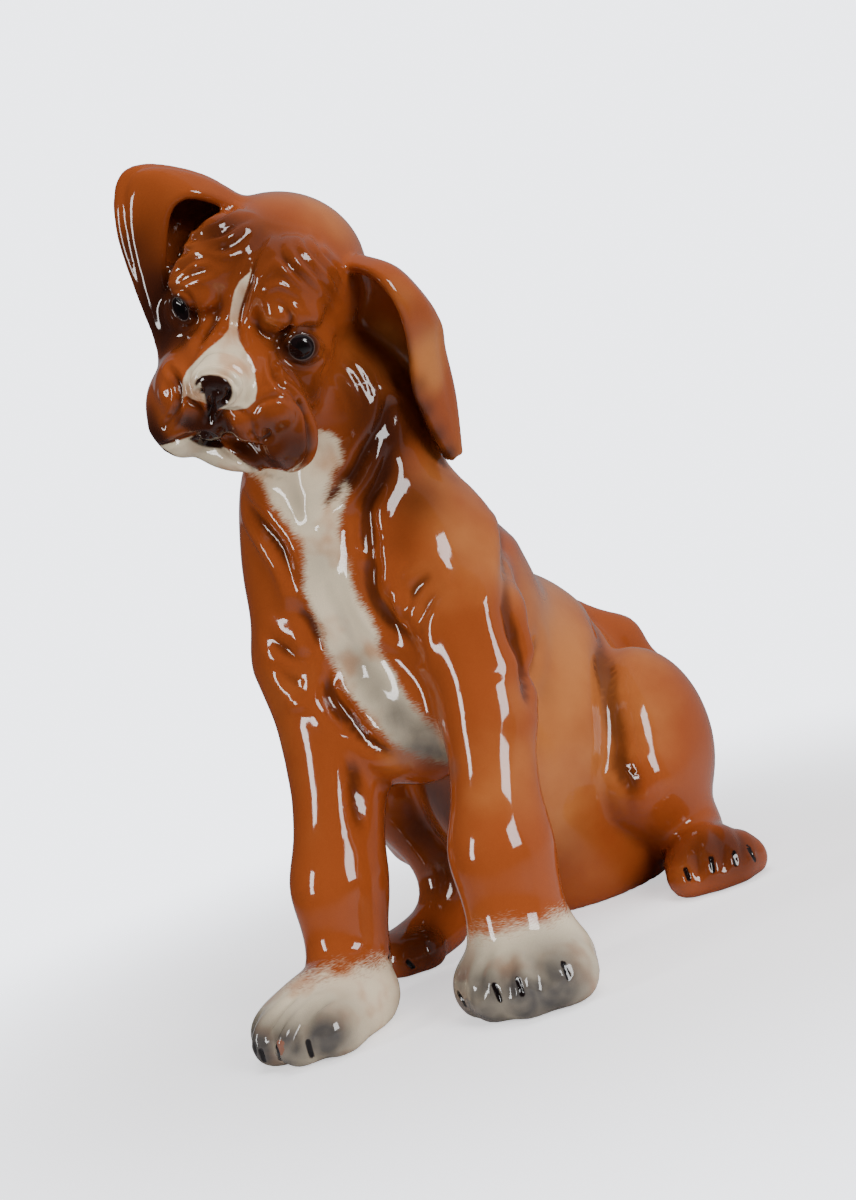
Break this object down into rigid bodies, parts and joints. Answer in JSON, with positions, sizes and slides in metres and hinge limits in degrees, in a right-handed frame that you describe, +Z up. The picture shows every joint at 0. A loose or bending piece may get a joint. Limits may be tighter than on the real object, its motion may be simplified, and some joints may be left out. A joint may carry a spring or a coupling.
{
  "type": "ceramic puppy figurine",
  "caption": "Life-size seated boxer puppy in glazed slip-cast ceramic, head cocked to one side, chestnut coat with a white blaze, chest and front paws.",
  "frame": {"origin": "middle of the footprint's bounding rectangle, on the plane of the soles and rump", "axes": "+Z up, the chest faces -Y, the puppy's own left side is +X"},
  "size_m": [0.2227, 0.353, 0.4197],
  "materials": {
    "glaze": "clear gloss glaze over hand-painted chestnut, cream and black"
  },
  "bodies": {
    "root": {"puppy": "glaze"}
  },
  "joints": []
}
